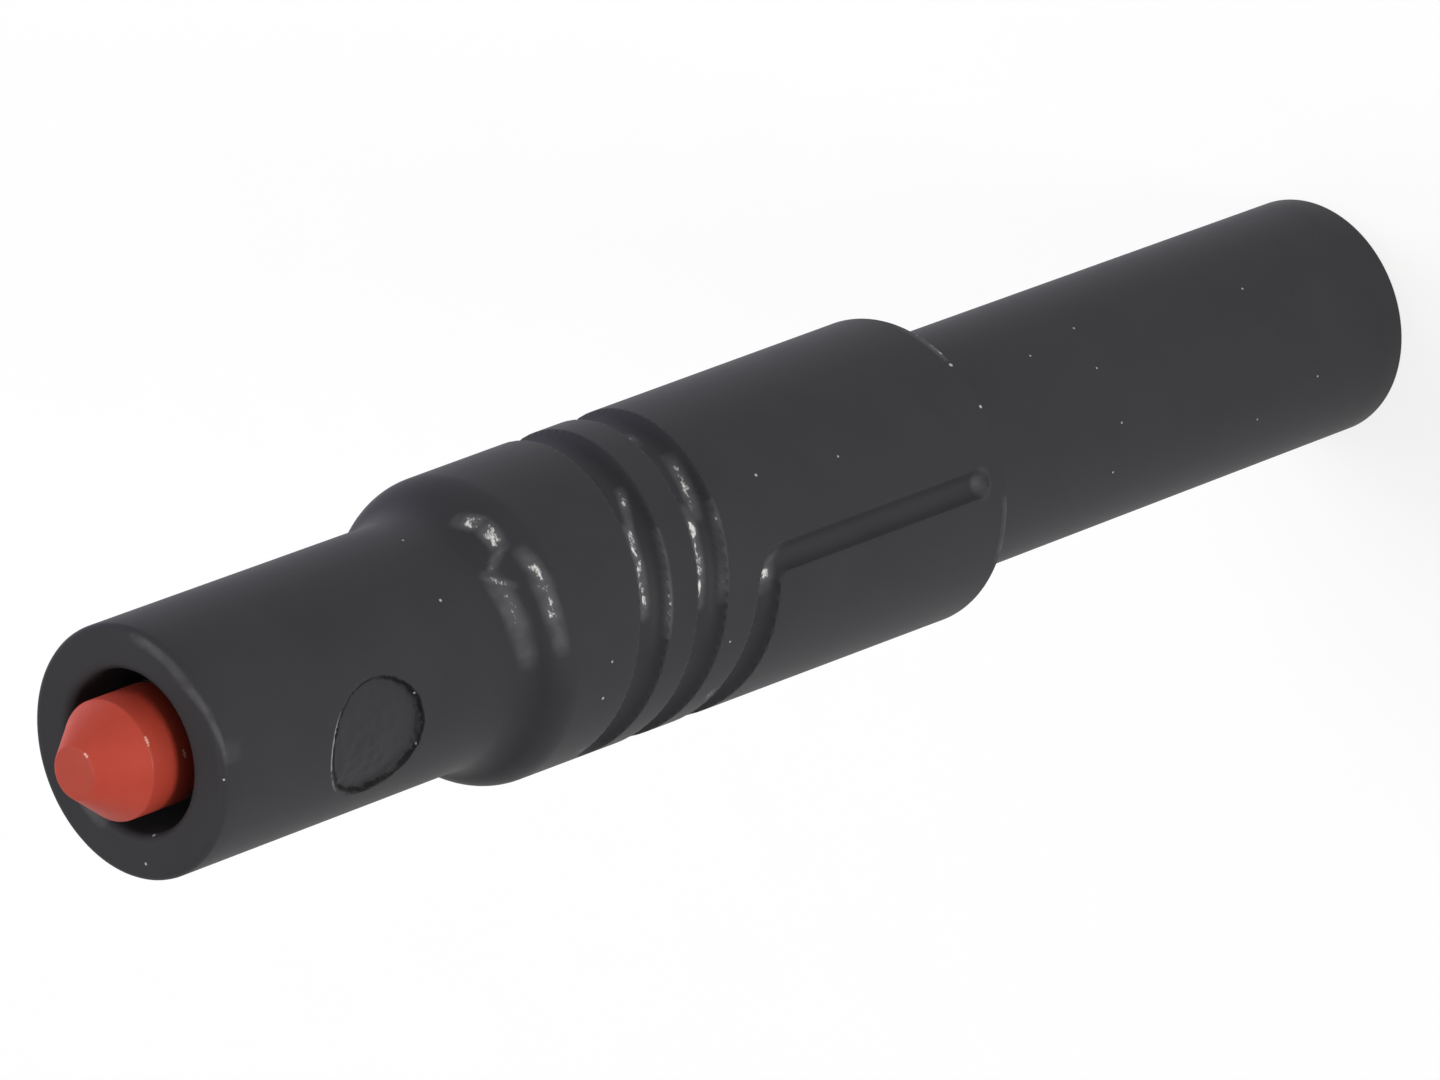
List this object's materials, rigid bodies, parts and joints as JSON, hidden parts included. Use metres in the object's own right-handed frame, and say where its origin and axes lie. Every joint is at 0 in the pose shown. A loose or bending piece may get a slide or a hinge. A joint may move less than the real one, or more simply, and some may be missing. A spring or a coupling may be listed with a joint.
{
  "type": "banana plug",
  "caption": "Banana plug: a caged contact pin with an insulated point inside a spring-returned sliding sheath with helical grip grooves, over a plain rear tube.",
  "frame": {"origin": "centre of the rear tube's flat rear end, which the plug stands on", "axes": "+Z along the plug's axis towards the contact tip; +X is the side of the clamp screws"},
  "size_m": [0.0102, 0.0102, 0.0585],
  "materials": {
    "black_plastic": "moulded, matt with a soft sheen",
    "red_plastic": "satin",
    "nickel_plate": "turned and nickel plated",
    "gold_plate": "gold plated sheet",
    "spring_steel": "bright drawn",
    "zinc_steel": "zinc plated",
    "white_plastic": "smooth bearing plastic",
    "brass": "turned",
    "black_rubber": "moulded"
  },
  "bodies": {
    "rear_body": {"rear_tube": "black_plastic", "contact_pin": "nickel_plate", "contact_cage": "gold_plate", "stop_clip": "spring_steel", "insulating_tip": "red_plastic", "return_spring": "spring_steel", "rear_spring_washer": "zinc_steel", "slide_ring": "white_plastic", "lock_washer": "spring_steel", "wire_barrel": "brass", "clamp_screw_1": "zinc_steel", "clamp_screw_2": "zinc_steel", "wire_leaf": "spring_steel", "cable_bush": "black_rubber"},
    "sliding_sheath": {"sheath": "black_plastic", "front_spring_washer": "zinc_steel"}
  },
  "joints": [
    {"name": "sheath_slide", "type": "slide", "parent": "rear_body", "child": "sliding_sheath", "axis": [0, 0, -1], "range_m": [0, 0.012], "stiffness_N_per_m": 150, "springref_m": -0.008, "deforming": ["return_spring"]}
  ]
}
